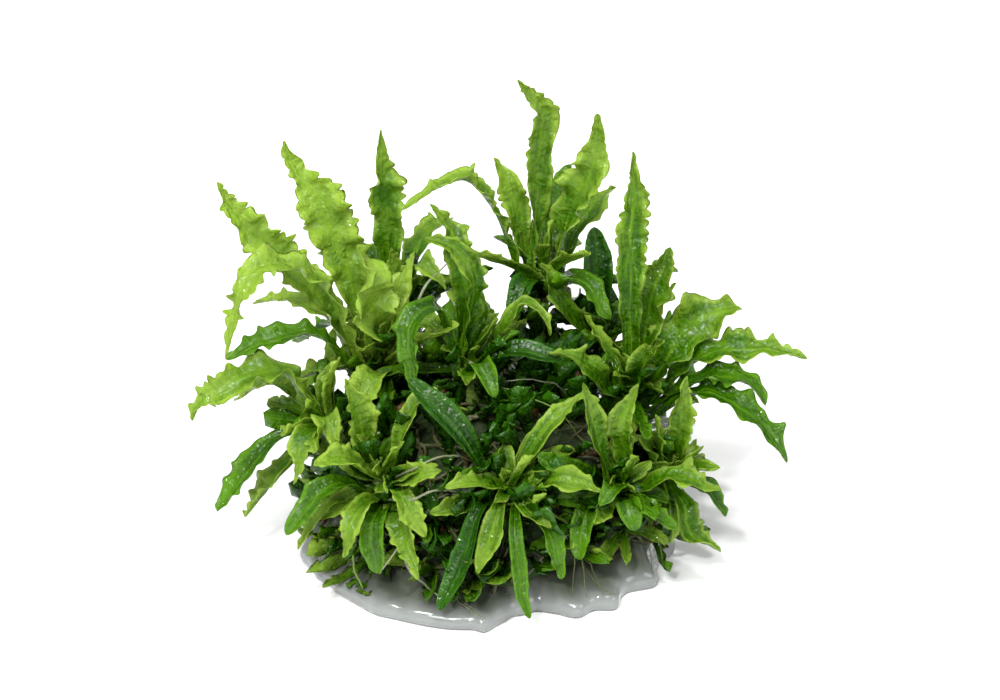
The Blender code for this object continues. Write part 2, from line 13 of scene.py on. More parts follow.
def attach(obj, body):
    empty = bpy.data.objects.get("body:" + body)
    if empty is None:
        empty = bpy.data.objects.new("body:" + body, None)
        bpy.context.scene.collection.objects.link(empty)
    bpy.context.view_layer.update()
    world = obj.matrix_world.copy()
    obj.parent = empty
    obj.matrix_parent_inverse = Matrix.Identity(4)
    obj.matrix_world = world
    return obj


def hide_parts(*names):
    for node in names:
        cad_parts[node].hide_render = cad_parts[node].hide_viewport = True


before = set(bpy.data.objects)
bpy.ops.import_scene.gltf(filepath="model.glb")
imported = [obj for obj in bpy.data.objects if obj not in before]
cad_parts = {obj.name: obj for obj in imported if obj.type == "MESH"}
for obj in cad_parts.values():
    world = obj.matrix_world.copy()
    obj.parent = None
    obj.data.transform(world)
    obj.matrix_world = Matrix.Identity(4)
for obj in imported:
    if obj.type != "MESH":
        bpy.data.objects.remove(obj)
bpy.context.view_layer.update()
MM = 0.001


# Culture jelly
# The nutrient jelly that the clump grew on: soft, milky and see-through, once poured flat in a cup.
# It was torn from the cup, so its wet rim is thick and round and drawn out in lobes and drips.

JELLY_SPOKES = 220
JELLY_CROWN = 0.0036
OUTLINE_HEIGHT = 0.0016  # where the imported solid's outline is read
JELLY_PROFILE = [  # distance in from the rim, height, in millimetres
    (1.1, 0.0), (0.7, 0.02), (0.42, 0.1), (0.22, 0.28), (0.1, 0.55), (0.03, 0.95), (0.0, 1.4),
    (0.05, 1.85), (0.2, 2.2), (0.42, 2.5), (0.75, 2.78), (1.15, 3.0), (1.7, 3.2), (2.4, 3.36),
    (3.4, 3.48), (4.6, 3.56),
    *((inset, 3.6) for inset in (5.8, 7.0, 8.3, 9.6, 11.0, 12.5, 14.2, 16.0, 18.5, 22.0, 30.0)),
]
JELLY_LOBES = [  # angle from +X in degrees, how far it sticks out in millimetres, half width in degrees
    (-74, -0.7, 3.4), (-63, 1.9, 3.8), (-50, 3.1, 4.0), (-40, -0.4, 2.6), (-31, 3.1, 4.6), (-22, 1.0, 5.0),
    (-9, 2.2, 6.0), (-93, 1.8, 2.4), (-84, -1.0, 2.4), (-128, 0.7, 5.0), (-150, -0.6, 4.0),
    (-168, 0.9, 4.0), (28, 0.8, 5.0), (52, -0.9, 4.0), (75, 1.0, 5.0), (98, -0.8, 5.0), (120, 1.0, 5.0),
    (146, -0.9, 4.0),
]
JELLY_SWELLS = [  # place, width and height in millimetres
    (33, -7, 4.6, 3.6), (29, -14, 4.4, 2.4), (-27, 17, 4.5, 2.0), (12, 25.5, 4.6, 2.2), (-8, -26, 5.0, 1.4),
]
TANGLE_REACH = (0.033, 0.026)  # half the width and depth of the tangle's foot
CREEP_HEIGHT = 0.0022
CREEP_WIDTH = 0.0028
RIM_ROUNDING = (-5.0, -2.5, 0.0, 2.5, 5.0)  # degrees that each place of the outline is averaged over
UNEVEN = ((0.00035, 90), (0.00015, 320))  # depth and fineness of the top's unevenness
# how far in from the rim the jelly is painted lighter, as painted light through its thin rim
LIT_RIM_WIDTH = 0.005


def rim_radius(angle):
    """The jelly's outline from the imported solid, rounded, with its smaller lobes added."""
    near = angle + np.radians(RIM_ROUNDING)
    radius = float(np.interp(near, rim_angles, rim_radii, period=2 * math.pi).mean())
    for place, height, spread in JELLY_LOBES:
        away = math.degrees((angle - math.radians(place) + math.pi) % (2 * math.pi) - math.pi)
        radius += height * MM * math.exp(-(away / spread) ** 2)
    return radius


def jelly_height(x, y, height):
    """The jelly's top creeps up the tangle and is a little uneven."""
    outside = max(0.0, math.hypot(x / TANGLE_REACH[0], y / TANGLE_REACH[1]) - 1) * TANGLE_REACH[1]
    share = min(1.0, height / JELLY_CROWN) ** 3
    swell = sum(depth * noise.noise(Vector((x, y, layer)) * fineness)
                for layer, (depth, fineness) in enumerate(UNEVEN))
    for east, north, width, rise in JELLY_SWELLS:
        away = math.hypot(x / MM - east, y / MM - north) / width
        swell += rise * MM * math.exp(-away * away)
    return height + share * (CREEP_HEIGHT * math.exp(-outside / CREEP_WIDTH) + swell)


rim = np.array([v.co[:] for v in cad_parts["culture_gel"].data.vertices])
rim = np.unique(np.round(rim[np.abs(rim[:, 2] - OUTLINE_HEIGHT) < 1e-5], 6), axis=0)
rim_angles = np.arctan2(rim[:, 1], rim[:, 0])
rim_radii = np.hypot(rim[:, 0], rim[:, 1])[np.argsort(rim_angles)]
rim_angles = np.sort(rim_angles)

jelly_mesh = bmesh.new()
inset_layer = jelly_mesh.verts.layers.float.new("inset")
rows = []
for inset, height in JELLY_PROFILE:
    row = []
    for spoke in range(JELLY_SPOKES):
        angle = 2 * math.pi * spoke / JELLY_SPOKES
        radius = rim_radius(angle) - inset * MM
        x, y = radius * math.cos(angle), radius * math.sin(angle)
        corner = jelly_mesh.verts.new((x, y, jelly_height(x, y, height * MM)))
        corner[inset_layer] = inset * MM
        row.append(corner)
    rows.append(row)
for lower, upper in zip(rows, rows[1:]):
    for spoke in range(JELLY_SPOKES):
        after = (spoke + 1) % JELLY_SPOKES
        jelly_mesh.faces.new((lower[spoke], lower[after], upper[after], upper[spoke]))
underside = jelly_mesh.verts.new((0, 0, 0))
middle = jelly_mesh.verts.new((0, 0, jelly_height(0, 0, JELLY_CROWN)))
underside[inset_layer] = middle[inset_layer] = JELLY_PROFILE[-1][0] * MM
for spoke in range(JELLY_SPOKES):
    after = (spoke + 1) % JELLY_SPOKES
    jelly_mesh.faces.new((underside, rows[0][after], rows[0][spoke]))
    jelly_mesh.faces.new((middle, rows[-1][spoke], rows[-1][after]))


def connect(value, place):
    """Link a wire to a socket, or set the socket's own value."""
    if isinstance(value, Wire):
        value.tree.links.new(value.socket, place)
    else:
        place.default_value = value


class Wire:
    """A socket of a node tree. Sums on it add Math nodes, or Vector Math nodes for a vector."""

    def __init__(self, tree, socket=None):
        self.tree = tree
        self.socket = socket

    def node(self, kind, settings=(), inputs=(), output=0):
        """A further node: its settings first, then its sockets' values or links."""
        made = self.tree.nodes.new(kind)
        for name, value in dict(settings).items():
            setattr(made, name, value)
        for name, value in dict(inputs).items():
            connect(value, made.inputs[name])
        return Wire(self.tree, made.outputs[output])

    def then(self, kind, settings=(), inputs=(), output=0):
        """A further node whose first socket this wire feeds."""
        return self.node(kind, settings, {0: self, **dict(inputs)}, output)

    def also(self, output):
        """Another output of the node that this wire comes from."""
        return Wire(self.tree, self.socket.node.outputs[output])

    def maths(self, operation, other=0.0, swapped=False, output=0):
        """Self and other through one Math or Vector Math node."""
        parts = [other, self] if swapped else [self, other]
        vector = any(isinstance(p, Wire) and p.socket.type == "VECTOR" for p in parts)
        if vector:
            parts = [(p, p, p) if isinstance(p, (int, float)) else p for p in parts]
        kind = "ShaderNodeVectorMath" if vector else "ShaderNodeMath"
        return self.node(kind, {"operation": operation}, dict(enumerate(parts)), output)

    # Each operator or word below adds one Math node.
    __add__ = partialmethod(maths, "ADD")
    __radd__ = partialmethod(maths, "ADD", swapped=True)
    __sub__ = partialmethod(maths, "SUBTRACT")
    __rsub__ = partialmethod(maths, "SUBTRACT", swapped=True)
    __mul__ = partialmethod(maths, "MULTIPLY")
    __rmul__ = partialmethod(maths, "MULTIPLY", swapped=True)
    __truediv__ = partialmethod(maths, "DIVIDE")
    __rtruediv__ = partialmethod(maths, "DIVIDE", swapped=True)
    __pow__ = partialmethod(maths, "POWER")
    __lt__ = partialmethod(maths, "LESS_THAN")
    __gt__ = partialmethod(maths, "GREATER_THAN")
    wave = partialmethod(maths, "SINE")
    size = partialmethod(maths, "ABSOLUTE")

    def within(self):
        """The value held between nought and one."""
        return self.then("ShaderNodeClamp")

    def bell(self, narrowness):
        """One where the value is nought, falling off to nought on both sides."""
        return (-narrowness * self * self).maths("EXPONENT")

    def point(self, *parts):
        """A vector of up to three values."""
        return self.node("ShaderNodeCombineXYZ", (), dict(enumerate(parts)))

    def axis(self, number):
        """One of a vector's three values."""
        return self.then("ShaderNodeSeparateXYZ", output=number)

    def grain(self, scale, detail=2.0, output="Fac", roughness=0.5):
        """Noise at this point; a higher scale is finer."""
        return self.node("ShaderNodeTexNoise", (), {"Vector": self, "Scale": scale, "Detail": detail,
                                                    "Roughness": roughness}, output)

    def shift(self, scale, detail=2.0):
        """A smooth random shift between -0.5 and 0.5, the same along all three axes."""
        return self.grain(scale, detail, "Color") - 0.5

    def blend(self, first, second):
        """The first colour where the value is nought, the second where it is one."""
        first, second = [(*c, 1) if isinstance(c, tuple) else c for c in (first, second)]
        return self.node("ShaderNodeMix", {"data_type": "RGBA"}, {0: self, 6: first, 7: second}, 2)

    def bump(self, strength, distance):
        """A normal bent by this height."""
        return self.node("ShaderNodeBump", (), {"Strength": strength, "Distance": distance, "Height": self})

    def moved(self, **way):
        """This geometry with its points moved by an Offset or to a Position."""
        return self.then("GeometryNodeSetPosition", (), way)


def new_material(name):
    """An empty material, the place on the object as a wire, and the material's shader."""
    material = bpy.data.materials.new(name)
    material.use_nodes = True
    place = Wire(material.node_tree).node("ShaderNodeTexCoord", output="Object")
    return material, place, material.node_tree.nodes["Principled BSDF"]


def feed(shader, **sockets):
    """Set or link a shader's sockets; an underscore stands for the space in a socket's name."""
    for name, value in sockets.items():
        connect(value, shader.inputs[name.replace("_", " ")])


def set_out(name, data):
    """A new object in the scene with this mesh, lamp or camera."""
    item = bpy.data.objects.new(name, data)
    bpy.context.scene.collection.objects.link(item)
    return item


def finish_piece(name, mesh, slot, *nodes, material=None):
    """A finished piece from its mesh: smooth, riding on the clump, in place of the nodes."""
    for polygon in mesh.polygons:
        polygon.use_smooth = True
    if material:
        mesh.materials.append(material)
    mesh.name = name
    piece = set_out(name, mesh)
    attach(piece, "root")
    if nodes:
        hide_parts(*nodes)


def mesh_of(work):
    """A mesh from loose work, facing outward."""
    bmesh.ops.recalc_face_normals(work, faces=work.faces)
    mesh = bpy.data.meshes.new("piece")
    work.to_mesh(mesh)
    work.free()
    return mesh


jelly, place, shader = new_material("milky_culture_jelly")
cloud = place.grain(130.0, 4.0)
film = place.grain(900.0, 3.0)
inset = place.node("ShaderNodeAttribute", {"attribute_name": "inset"}, output="Fac")
# Painted light: the jelly is painted paler towards its rim, where the thin rim lets light through, and stays
# milky grey inside.
painted_rim_light = (1 - inset / LIT_RIM_WIDTH).within() ** 1.5
milk = cloud.blend((0.10, 0.115, 0.085), (0.17, 0.185, 0.15))
feed(shader, Base_Color=painted_rim_light.blend(milk, (0.32, 0.34, 0.33)), Roughness=0.05 + 0.12 * film ** 2,
     IOR=1.34, Transmission_Weight=0.35, Coat_Weight=0.6, Coat_Roughness=0.03,
     Normal=(0.5 * film + 2 * cloud).bump(0.15, 0.0004))
finish_piece("culture_jelly", mesh_of(jelly_mesh), "culture_gel", "culture_gel", material=jelly)


# Leaves
# Thin strap-shaped blades with a channelled midrib. Young ones are light yellow-green and tightly
# crisped along both margins, mature ones are broader and smoother, old ones dark and nearly plain.

STEP_ALONG = 0.00032  # between a blade's rows of points
ACROSS = 9  # faces from the midrib to a margin
GUIDE_POINTS = 64
SEAM = 0.000003  # points nearer than this are joined
PLEAT = 0.0020
LOBE_BASE = 0.0030
BLUNT = 0.0016  # how far the tip's rounding reaches back
TIP_WIDTH = 0.5  # of a solid's last ring
FOOT_WIDTH = 1.3  # of its first ring
FOOT_SINK = 0.0008
MARGIN_THICKNESS = 0.00013
RIB_THICKNESS = 0.00034
TONES = {
    # colours of the blade, margin, rib and the light through it; then how much light, and the shape
    "young_leaf": dict(blade=(0.064, 0.205, 0.0005), margin=(0.29, 0.44, 0.050), rib=(0.16, 0.31, 0.012),
                       glow=(0.17, 0.39, 0.001), tip=(0.49, 0.62, 0.110), through=0.38,
                       crisp=0.28, lobes=0.85, pucker=0.00045, twist=5.0, slim=0.6),
    "mature_leaf": dict(blade=(0.030, 0.115, 0.0005), margin=(0.085, 0.22, 0.004), rib=(0.09, 0.22, 0.008),
                        glow=(0.07, 0.28, 0.001), tip=(0.24, 0.48, 0.015), through=0.26,
                        crisp=0.24, lobes=0.20, pucker=0.00030, twist=1.6, slim=0.1),
    # The old leaves' dark colour is also painted shade on small leaves on the clump's inner side.
    "old_leaf": dict(blade=(0.009, 0.054, 0.0005), margin=(0.022, 0.10, 0.001), rib=(0.035, 0.11, 0.006),
                     glow=(0.03, 0.22, 0.001), tip=(0.06, 0.28, 0.003), through=0.16,
                     crisp=0.05, lobes=0.08, pucker=0.00010, twist=0.4, slim=0.0),
}
# Each plantlet's stem, in millimetres: where it leaves the tangle's heart, and its crown.
STEM_LINES = {
    "back": ((6, 10, 22), (10, 22, 52)), "left": ((-14, 2, 20), (-24, 4, 41)),
    "back_left": ((-10, 9, 20), (-20, 18, 47)), "middle": ((-3, -1, 25), (-5, -2, 43)),
    "right": ((16, 1, 20), (28, 0, 37)), "back_right": ((12, 9, 20), (22, 17, 38)),
    "front": ((2, -13, 16), (3, -25, 26)), "front_left": ((-13, -11, 16), (-23, -21, 26)),
    "low_left": ((-18, -3, 17), (-35, -6, 32)), "front_right": ((15, -11, 15), (25, -20, 24)),
    "low_right": ((20, -4, 14), (36, -9, 21)), "rear_left": ((-13, 12, 18), (-23, 28, 28)),
    "rear": ((2, 13, 18), (2, 31, 27)), "rear_right": ((15, 10, 17), (27, 27, 25)),
}
# How much broader than their solids a plantlet's leaves, or one leaf, are with their frills spread.
BREADTH = {"left": 1.15, "right": 1.2, "low_left": 1.15, "back": 1.1, "back_left": 1.1,
           "left_1": 1.0, "right_1": 0.9, "back_1": 0.95, "left_3": 1.0, "front_2": 0.75}
BREADTH_ELSEWHERE = 1.05
# How deeply the margins are lobed, as a share of the slot's own depth.
FRILLS = {"left": 1.4, "low_left": 1.3, "front": 0.4, "front_left": 0.8, "front_right": 0.65,
          "low_right": 0.8, "middle": 0.6}
# How pale each plantlet's leaves are; the ones at the left have grown most lately.
PALENESS = {
    # The middle plantlet's low paleness is partly painted shade of the clump's dark hollow.
    "back": 0.55, "left": 1.2, "back_left": 0.6, "middle": 0.3, "right": 0.2, "back_right": 0.2,
    "front": 0.55, "front_left": 0.7, "low_left": 0.85, "front_right": 0.4, "low_right": 0.4,
    "rear_left": 0.7, "rear": 0.4, "rear_right": 0.6,
}


def new_tree(name, **inputs):
    """A geometry tree's start, and its guide, its material and more inputs, by kind, as wires."""
    tree = bpy.data.node_groups.new(name, "GeometryNodeTree")
    tree.is_modifier = True
    tree.interface.new_socket("Geometry", in_out="OUTPUT", socket_type="NodeSocketGeometry")
    for kind, labels in {"Geometry": ["Guide"], "Material": ["Material"], **inputs}.items():
        for label in labels:
            tree.interface.new_socket(label, in_out="INPUT", socket_type=f"NodeSocket{kind}")
    start = tree.nodes.new("NodeGroupInput")
    given = {s.name.lower().replace(" ", "_"): Wire(tree, s) for s in start.outputs if s.name}
    return Wire(tree), SimpleNamespace(**given)


def close_tree(geometry, material):
    """The tree ended with real faces, smooth shading and the material."""
    real = geometry.then("GeometryNodeRealizeInstances").then("GeometryNodeSetShadeSmooth")
    dressed = real.then("GeometryNodeSetMaterial", (), {"Material": material})
    connect(dressed, geometry.tree.nodes.new("NodeGroupOutput").inputs[0])
    return geometry.tree


def grow(tree, guide, values):
    """The plain mesh that a tree makes of a guide object, which is then thrown away."""
    modifier = guide.modifiers.new(tree.name, "NODES")
    modifier.node_group = tree
    for item in tree.interface.items_tree:
        if item.in_out == "INPUT" and item.name in values:
            modifier[item.identifier] = values[item.name]
    state = bpy.context.evaluated_depsgraph_get()
    mesh = bpy.data.meshes.new_from_object(guide.evaluated_get(state), depsgraph=state)
    guide.modifiers.remove(modifier)
    bpy.data.objects.remove(guide, do_unlink=True)
    return mesh


def store(geometry, **values):
    """The geometry with each value kept on its points."""
    for name, value in values.items():
        kind = "FLOAT_VECTOR" if value.socket.type == "VECTOR" else "FLOAT"
        geometry = geometry.then("GeometryNodeStoreNamedAttribute", {"data_type": kind},
                                 {"Name": name, "Value": value})
    return geometry


def stored(wire, name, kind):
    """A value that the points keep."""
    return wire.node("GeometryNodeInputNamedAttribute", {"data_type": kind}, {"Name": name})


def smooth_line(guide, count):
    """A smooth curve through a guide's points."""
    line = guide.then("GeometryNodeMeshToCurve")
    line = line.then("GeometryNodeCurveSplineType", {"spline_type": "CATMULL_ROM"})
    return line.then("GeometryNodeResampleCurve", {"mode": "COUNT"}, {"Count": count})


def wrapped_sheet(wire, columns, rows):
    """A flat sheet to wrap round a leaf, and where on the leaf each of its points comes to lie.

    Along is 0 at the foot and 1 at the tip, across is -1 and 1 at the margins, and upper is 1 above.
    """
    sheet = wire.node("GeometryNodeMeshGrid", (), {
        "Size X": 1.0, "Size Y": 1.0, "Vertices X": columns, "Vertices Y": rows})
    flat = wire.node("GeometryNodeInputPosition")
    turn = flat.axis(0) + 0.5
    along = flat.axis(1) + 0.5
    across = 1 - 2 * (2 * turn - 1).size()
    return sheet, along, across, turn < 0.5


def blade_tree():
    """Lofts one closed blade along its guide line and crisps its margins."""
    wire, given = new_tree("crisped_blade", Int=["Steps"], Float=[
        "Length", "Crisp", "Lobes", "Pucker", "Twist", "Slim tip", "Margin", "Rib", "Tint", "Seed"])
    line = smooth_line(given.guide, GUIDE_POINTS)
    sheet, along, across, upper = wrapped_sheet(wire, 4 * ACROSS + 1, given.steps)
    reach = across.size()
    run = along * given.length
    seed = given.seed

    def sampled(name, output="Value"):
        """An attribute of the guide line at this point's place along it."""
        return line.then("GeometryNodeSampleCurve", {"data_type": "FLOAT_VECTOR", "mode": "FACTOR"},
                         {"Factor": along, "Value": stored(wire, name, "FLOAT_VECTOR")}, output)

    right_side = across > 0.0
    left = sampled("left")
    above = sampled("above")
    side = left + (sampled("right") - left) * right_side
    half = side.maths("LENGTH", output="Value")
    lift = side.maths("DOT_PRODUCT", above, output="Value")

    # Every pleat between two side veins ends in a rounded lobe, and the next lobe bends the other way.
    strip = wire.point(run, 0.05 * right_side, seed)
    uneven = strip.grain(150.0, 1.0) - 0.5
    broad = strip.grain(110.0, 0.0) - 0.5
    strength = (3.4 * strip.grain(130.0, 0.0) - 1.1).within()
    phase = math.pi * (run / PLEAT - 0.4 * reach + 3.0 * uneven + 0.4 * right_side)
    ripple = phase.wave() + 0.3 * (0.43 * phase + 1.7).wave()
    pleat = phase.wave().size() ** 0.6
    growing = (2.3 * along - 0.7).within()
    narrow = (LOBE_BASE / (half + 0.0001)).maths("MINIMUM", 2.4)
    ragged = given.lobes * (0.75 + 0.45 * along) * growing * reach ** 3
    outline = ((1 - given.slim_tip * (3.2 * along - 2.2).within() + 0.1 * (1 - 2.6 * along).within())
               * (1 + ragged * (1.5 * broad + 0.5 * narrow * strength * (pleat - 0.68))))
    rise = (given.crisp * growing * half * reach ** 3.5 * (1.25 * strength * ripple + 1.6 * broad)
            + half * (0.22 + 0.4 * (1 - 2.2 * along).within()) * reach ** 2
            + lift * (reach ** 1.5 - reach))
    skin = wire.point(run, across * half, seed + 3.0)
    puckers = (skin.grain(620.0, 2.0) - 0.5) * (4 * reach * (1 - reach))
    quilt = given.pucker * (2.2 * puckers + 1.1 * growing * (pleat - 0.7) * reach * (1.3 - reach))

    edge = (1.0001 - reach ** 4) ** 0.5
    rib = across.bell(30.0)
    taper = 1 - 0.65 * along
    stalk = 1 + 1.1 * (1 - 3.0 * along).within()
    thick = edge * (given.margin + given.rib * stalk * taper * rib * (1 - 0.62 * upper))
    groove = given.rib * taper * rib * upper * -0.35
    shape = side * (reach * outline) + above * (rise + quilt + (2 * upper - 1) * thick + groove)

    # The blade twists about its midrib and sways, more towards its tip, and both its ends close.
    curl = wire.point(run, seed, 5.0).grain(75.0, 1.0) - 0.5
    shape = shape.then("ShaderNodeVectorRotate", {"rotation_type": "AXIS_ANGLE"}, {
        "Axis": side.maths("CROSS_PRODUCT", above) * (2 * right_side - 1),
        "Angle": given.twist * along ** 2 * curl})
    sway = wire.point(run, seed, 9.0).shift(105.0, 1.0) * (along * along * 0.0056)
    ending = ((given.length - run) / BLUNT).within()
    closing = (along * (given.steps - 1)).within() * (ending * (2 - ending)) ** 0.5
    place = sampled("left", "Position") + sway * given.crisp * 3.0 + closing * shape

    # What the material reads is stored while the sheet is still flat, because it is read from the sheet.
    luck = wire.node("ShaderNodeTexWhiteNoise", {"noise_dimensions": "1D"}, {"W": seed})
    sheet = store(sheet, along=along, across=across, run=run, pleat=pleat * growing,
                  tint=given.tint + 0.4 * (luck - 0.5))
    joined = sheet.moved(Position=place).then("GeometryNodeMergeByDistance", (), {"Distance": SEAM})
    return close_tree(joined, given.material)


def leaf_material(name, tone):
    """Wet leaf: streaked along its length, pale on its rib, margins and tip, painted highlights on its
    pleats, wet in patches.
    """
    material, place, shader = new_material(name)
    along, across, run, tint, pleat = [
        place.node("ShaderNodeAttribute", {"attribute_name": n}, output="Fac")
        for n in ("along", "across", "run", "tint", "pleat")]
    reach = across.size()
    mottle = place.grain(210.0, 4.0)
    speck = place.grain(1500.0, 3.0)
    streak = place.point(3.4 * across, 130.0 * run, 40.0 * tint).grain(1.0, 3.0)
    rib = across.bell(60.0)
    # Painted highlight: the pleats' ridges are painted paler, standing in for the light they catch.
    pleat_highlight = (2.2 * pleat - 1.3).within() * reach
    cords = (19.0 * across).wave() * (1.15 - 1.1 * along).within()
    edge = (3.2 * reach - 2.0).within() * (0.3 + 1.2 * speck)
    margin = (edge * (0.4 + 0.8 * along) + 0.75 * along ** 2 + 1.2 * (mottle - 0.5) + 0.5 * (tint - 0.65)
              + 0.3 * pleat_highlight).within()
    pale = (0.5 * rib + 0.7 * pleat_highlight * (2.4 * speck - 0.7).within() + 0.1 * cords
            + 2.4 * (streak - 0.52)).within()
    deep = (0.35 * (1 - 2.2 * along).within() + 0.6 * (0.5 - tint) - 2.0 * (streak - 0.5)).within()
    darker = tuple(0.36 * c for c in tone["blade"])
    flesh = (2.6 * speck - 0.8).within().blend(darker, tone["blade"])
    flesh = margin.blend(flesh, tone["margin"])
    color = pale.blend(deep.blend(flesh, darker), tone["rib"])
    bead = place.then("ShaderNodeTexVoronoi", (), {"Scale": 620.0})
    bead = (1 - 3.4 * bead).within() ** 0.5 * (6.0 * place.grain(150.0) - 2.9).within()
    wrinkle = place.grain(750.0, 1.0) + 0.4 * place.grain(1700.0, 1.0)
    relief = 1.8 * wrinkle + mottle + 0.4 * pleat_highlight + 0.5 * rib + 0.1 * cords + 0.8 * streak + 1.6 * bead
    bump = relief.bump(0.9, 0.0003)
    wet = (5.0 * mottle - 1.7).within()
    feed(shader, Base_Color=color, Roughness=0.34 - 0.28 * wet, IOR=1.4, Specular_IOR_Level=0.45,
         Normal=bump)

    # The light that comes through is brighter where the leaf is pale, which a mix of two shaders gives.
    dim, bright = [place.node("ShaderNodeBsdfTranslucent", (), {"Color": (*tone[part], 1), "Normal": bump})
                   for part in ("glow", "tip")]
    lit = (0.4 * pale + 0.8 * margin - 0.6 * deep).within()
    glow = lit.then("ShaderNodeMixShader", (), {1: dim, 2: bright})
    mixed = place.node("ShaderNodeMixShader", (), {
        0: tone["through"], 1: Wire(place.tree, shader.outputs[0]), 2: glow})
    connect(mixed, place.tree.nodes["Material Output"].inputs[0])
    return material


def joined_copy(node):
    """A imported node's corners and links, with its loose triangles joined."""
    work = bmesh.new()
    work.from_mesh(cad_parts[node].data)
    bmesh.ops.remove_doubles(work, verts=work.verts, dist=1e-6)
    return work


def links(corner):
    """The corners that share an edge with this one."""
    return [edge.other_vert(corner) for edge in corner.link_edges]


def read_leaves(node):
    """Each leaf of a solid, from its base to its tip: where its centre, margins and upper side are.

    A leaf's solid has rings of four corners and one corner at its tip, so a tip is known by its four
    neighbours, and each ring is what lies next behind the ring before it.
    """
    work = joined_copy(node)
    leaves = []
    for tip in work.verts:
        ring = sorted(links(tip), key=lambda v: len(links(v)))
        if [len(links(v)) for v in ring] != [4, 4, 6, 6]:
            continue
        seen = {tip}
        rings = []
        while len(ring) == 4:
            rings.append([v.co.copy() for v in ring])
            seen.update(ring)
            behind = [[w for w in links(v) if w not in seen] for v in ring]
            if len({w for row in behind for w in row}) != 4 or [len(r) for r in behind[:2]] != [1, 1]:
                break
            margins = [behind[0][0], behind[1][0]]
            ribs = [[w for w in row if w not in margins] for row in behind[2:]]
            if [len(row) for row in ribs] != [1, 1]:
                break
            ring = margins + [ribs[0][0], ribs[1][0]]
        leaves.append(guide_of(tip.co.copy(), rings[::-1]))
    work.free()
    return leaves


def guide_of(tip, rings):
    """A leaf's guide line: centres, margin offsets from them, and the direction of its upper side."""
    rings = np.array(rings)
    first, second = rings[:, 2], rings[:, 3]
    center = (first + second) / 2
    margins = rings[:, :2]
    if np.sum((first - second) * (margins.mean(axis=1) - center)) < 0:
        first, second = second, first
    above = first - second
    above /= np.linalg.norm(above, axis=1)[:, None]
    left, right = margins[:, 0] - center, margins[:, 1] - center
    forward = np.gradient(np.vstack([center, tip]), axis=0)[:-1]
    if np.sum(np.cross(right - left, forward) * above) < 0:
        left, right = right, left
    return {"center": np.vstack([center, tip]), "left": np.vstack([left, TIP_WIDTH * left[-1]]),
            "right": np.vstack([right, TIP_WIDTH * right[-1]]), "above": np.vstack([above, above[-1]])}


def rooted(leaf, foot):
    """The leaf with its guide line led back to its foot on the stem."""
    start = {"center": foot, "left": leaf["left"][0] * FOOT_WIDTH, "right": leaf["right"][0] * FOOT_WIDTH,
             "above": leaf["above"][0]}
    return {name: np.vstack([start[name], rows]) for name, rows in leaf.items()}


def guide_line(center, **offsets):
    """A line through the points as an object, which carries a leaf's offsets too."""
    mesh = bpy.data.meshes.new("guide")
    mesh.from_pydata([tuple(p) for p in center], [(k, k + 1) for k in range(len(center) - 1)], [])
    for name, rows in offsets.items():
        mesh.attributes.new(name, "FLOAT_VECTOR", "POINT").data.foreach_set("vector", rows.ravel())
    return set_out("guide", mesh)


def blade_mesh(leaf, slot, seed, plantlet, step=STEP_ALONG):
    """One finished blade on its guide line."""
    length = float(np.linalg.norm(np.diff(leaf["center"], axis=0), axis=1).sum())
    tone = TONES[slot]
    return grow(crisped_blade, guide_line(**leaf), {
        "Steps": max(24, round(length / step)), "Length": length, "Crisp": tone["crisp"],
        "Lobes": tone["lobes"] * FRILLS.get(plantlet, 1.0), "Pucker": tone["pucker"], "Twist": tone["twist"],
        "Slim tip": tone["slim"], "Margin": MARGIN_THICKNESS, "Rib": RIB_THICKNESS,
        "Tint": PALENESS[plantlet], "Seed": float(seed), "Material": leaf_materials[slot]})


def packed_material(node):
    """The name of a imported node's material."""
    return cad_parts[node].data.materials[0].name.split(".")[0]


def foot_on_stem(leaf, plantlet):
    """Where a leaf's base, followed inward, meets its stem."""
    low, crown = (np.array(p) * MM for p in STEM_LINES[plantlet])
    length = np.linalg.norm(crown - low)
    axis = (crown - low) / length
    height = np.dot(leaf["center"][0] - low, axis) - FOOT_SINK
    return low + axis * min(height, length)


slot_of = {packed_material(node): slot for node, slot in (
    ("leaf_back_1", "young_leaf"), ("leaf_back_5", "mature_leaf"), ("leaf_middle_4", "old_leaf"))}
crisped_blade = blade_tree()
leaf_materials = {slot: leaf_material(f"wet_{slot}", tone) for slot, tone in TONES.items()}
for number, node in enumerate(sorted(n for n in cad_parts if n.startswith("leaf_"))):
    name = node.removeprefix("leaf_")
    plantlet = name.rsplit("_", 1)[0]
    slot = slot_of[packed_material(node)]
    leaf = read_leaves(node)[0]
    broader = BREADTH.get(name, BREADTH.get(plantlet, BREADTH_ELSEWHERE)) - 1
    spread = broader * np.minimum(np.linspace(0, 2, len(leaf["center"])), 1)
    for margin in ("left", "right"):
        leaf[margin] = leaf[margin] * (1 + spread)[:, None]
    mesh = blade_mesh(rooted(leaf, foot_on_stem(leaf, plantlet)), slot, 7.3 * number, plantlet)
    finish_piece(f"blade_{name}", mesh, slot, node)


# Stems
# Short fleshy stems, pale green and ringed by the scars of shed leaves, rising out of the tangle.
# Each carries its small inner and side leaves, which are one body with it.

STEM_BEND = (0.68, 0.68, 0.46)
SIDE_STEP = 0.00042
GOLDEN_ANGLE = math.radians(137.5)
HEART_LEAVES = 8
HEART_STEP = 0.0005
HEART_RISE = (82, 22)
HEART_LENGTH = (0.006, 0.0155)
HEART_WIDTH = (0.0026, 0.0044)
HEART_OUTLINE = (0.55, 0.7, 0.9, 1.0, 0.9, 0.6)
HEART_SIZE = {"low_left": 1.3, "left": 1.3, "front_left": 1.2, "back": 1.15}
PALE_PLANTLET = 0.7
YOUNG_RISE = 0.2  # sine of the slope above which a small leaf is young
PALE_YOUNG_RISE = -0.5  # the same on a pale plantlet
SHADED = 0.004  # a shaded leaf's tip is this much nearer the clump's middle than its crown
STALK = {"Steps": 46, "Sides": 10, "Foot": 0.0014, "Tip": 0.0017, "Knots": 0.16, "Gnarl": 0.0003}


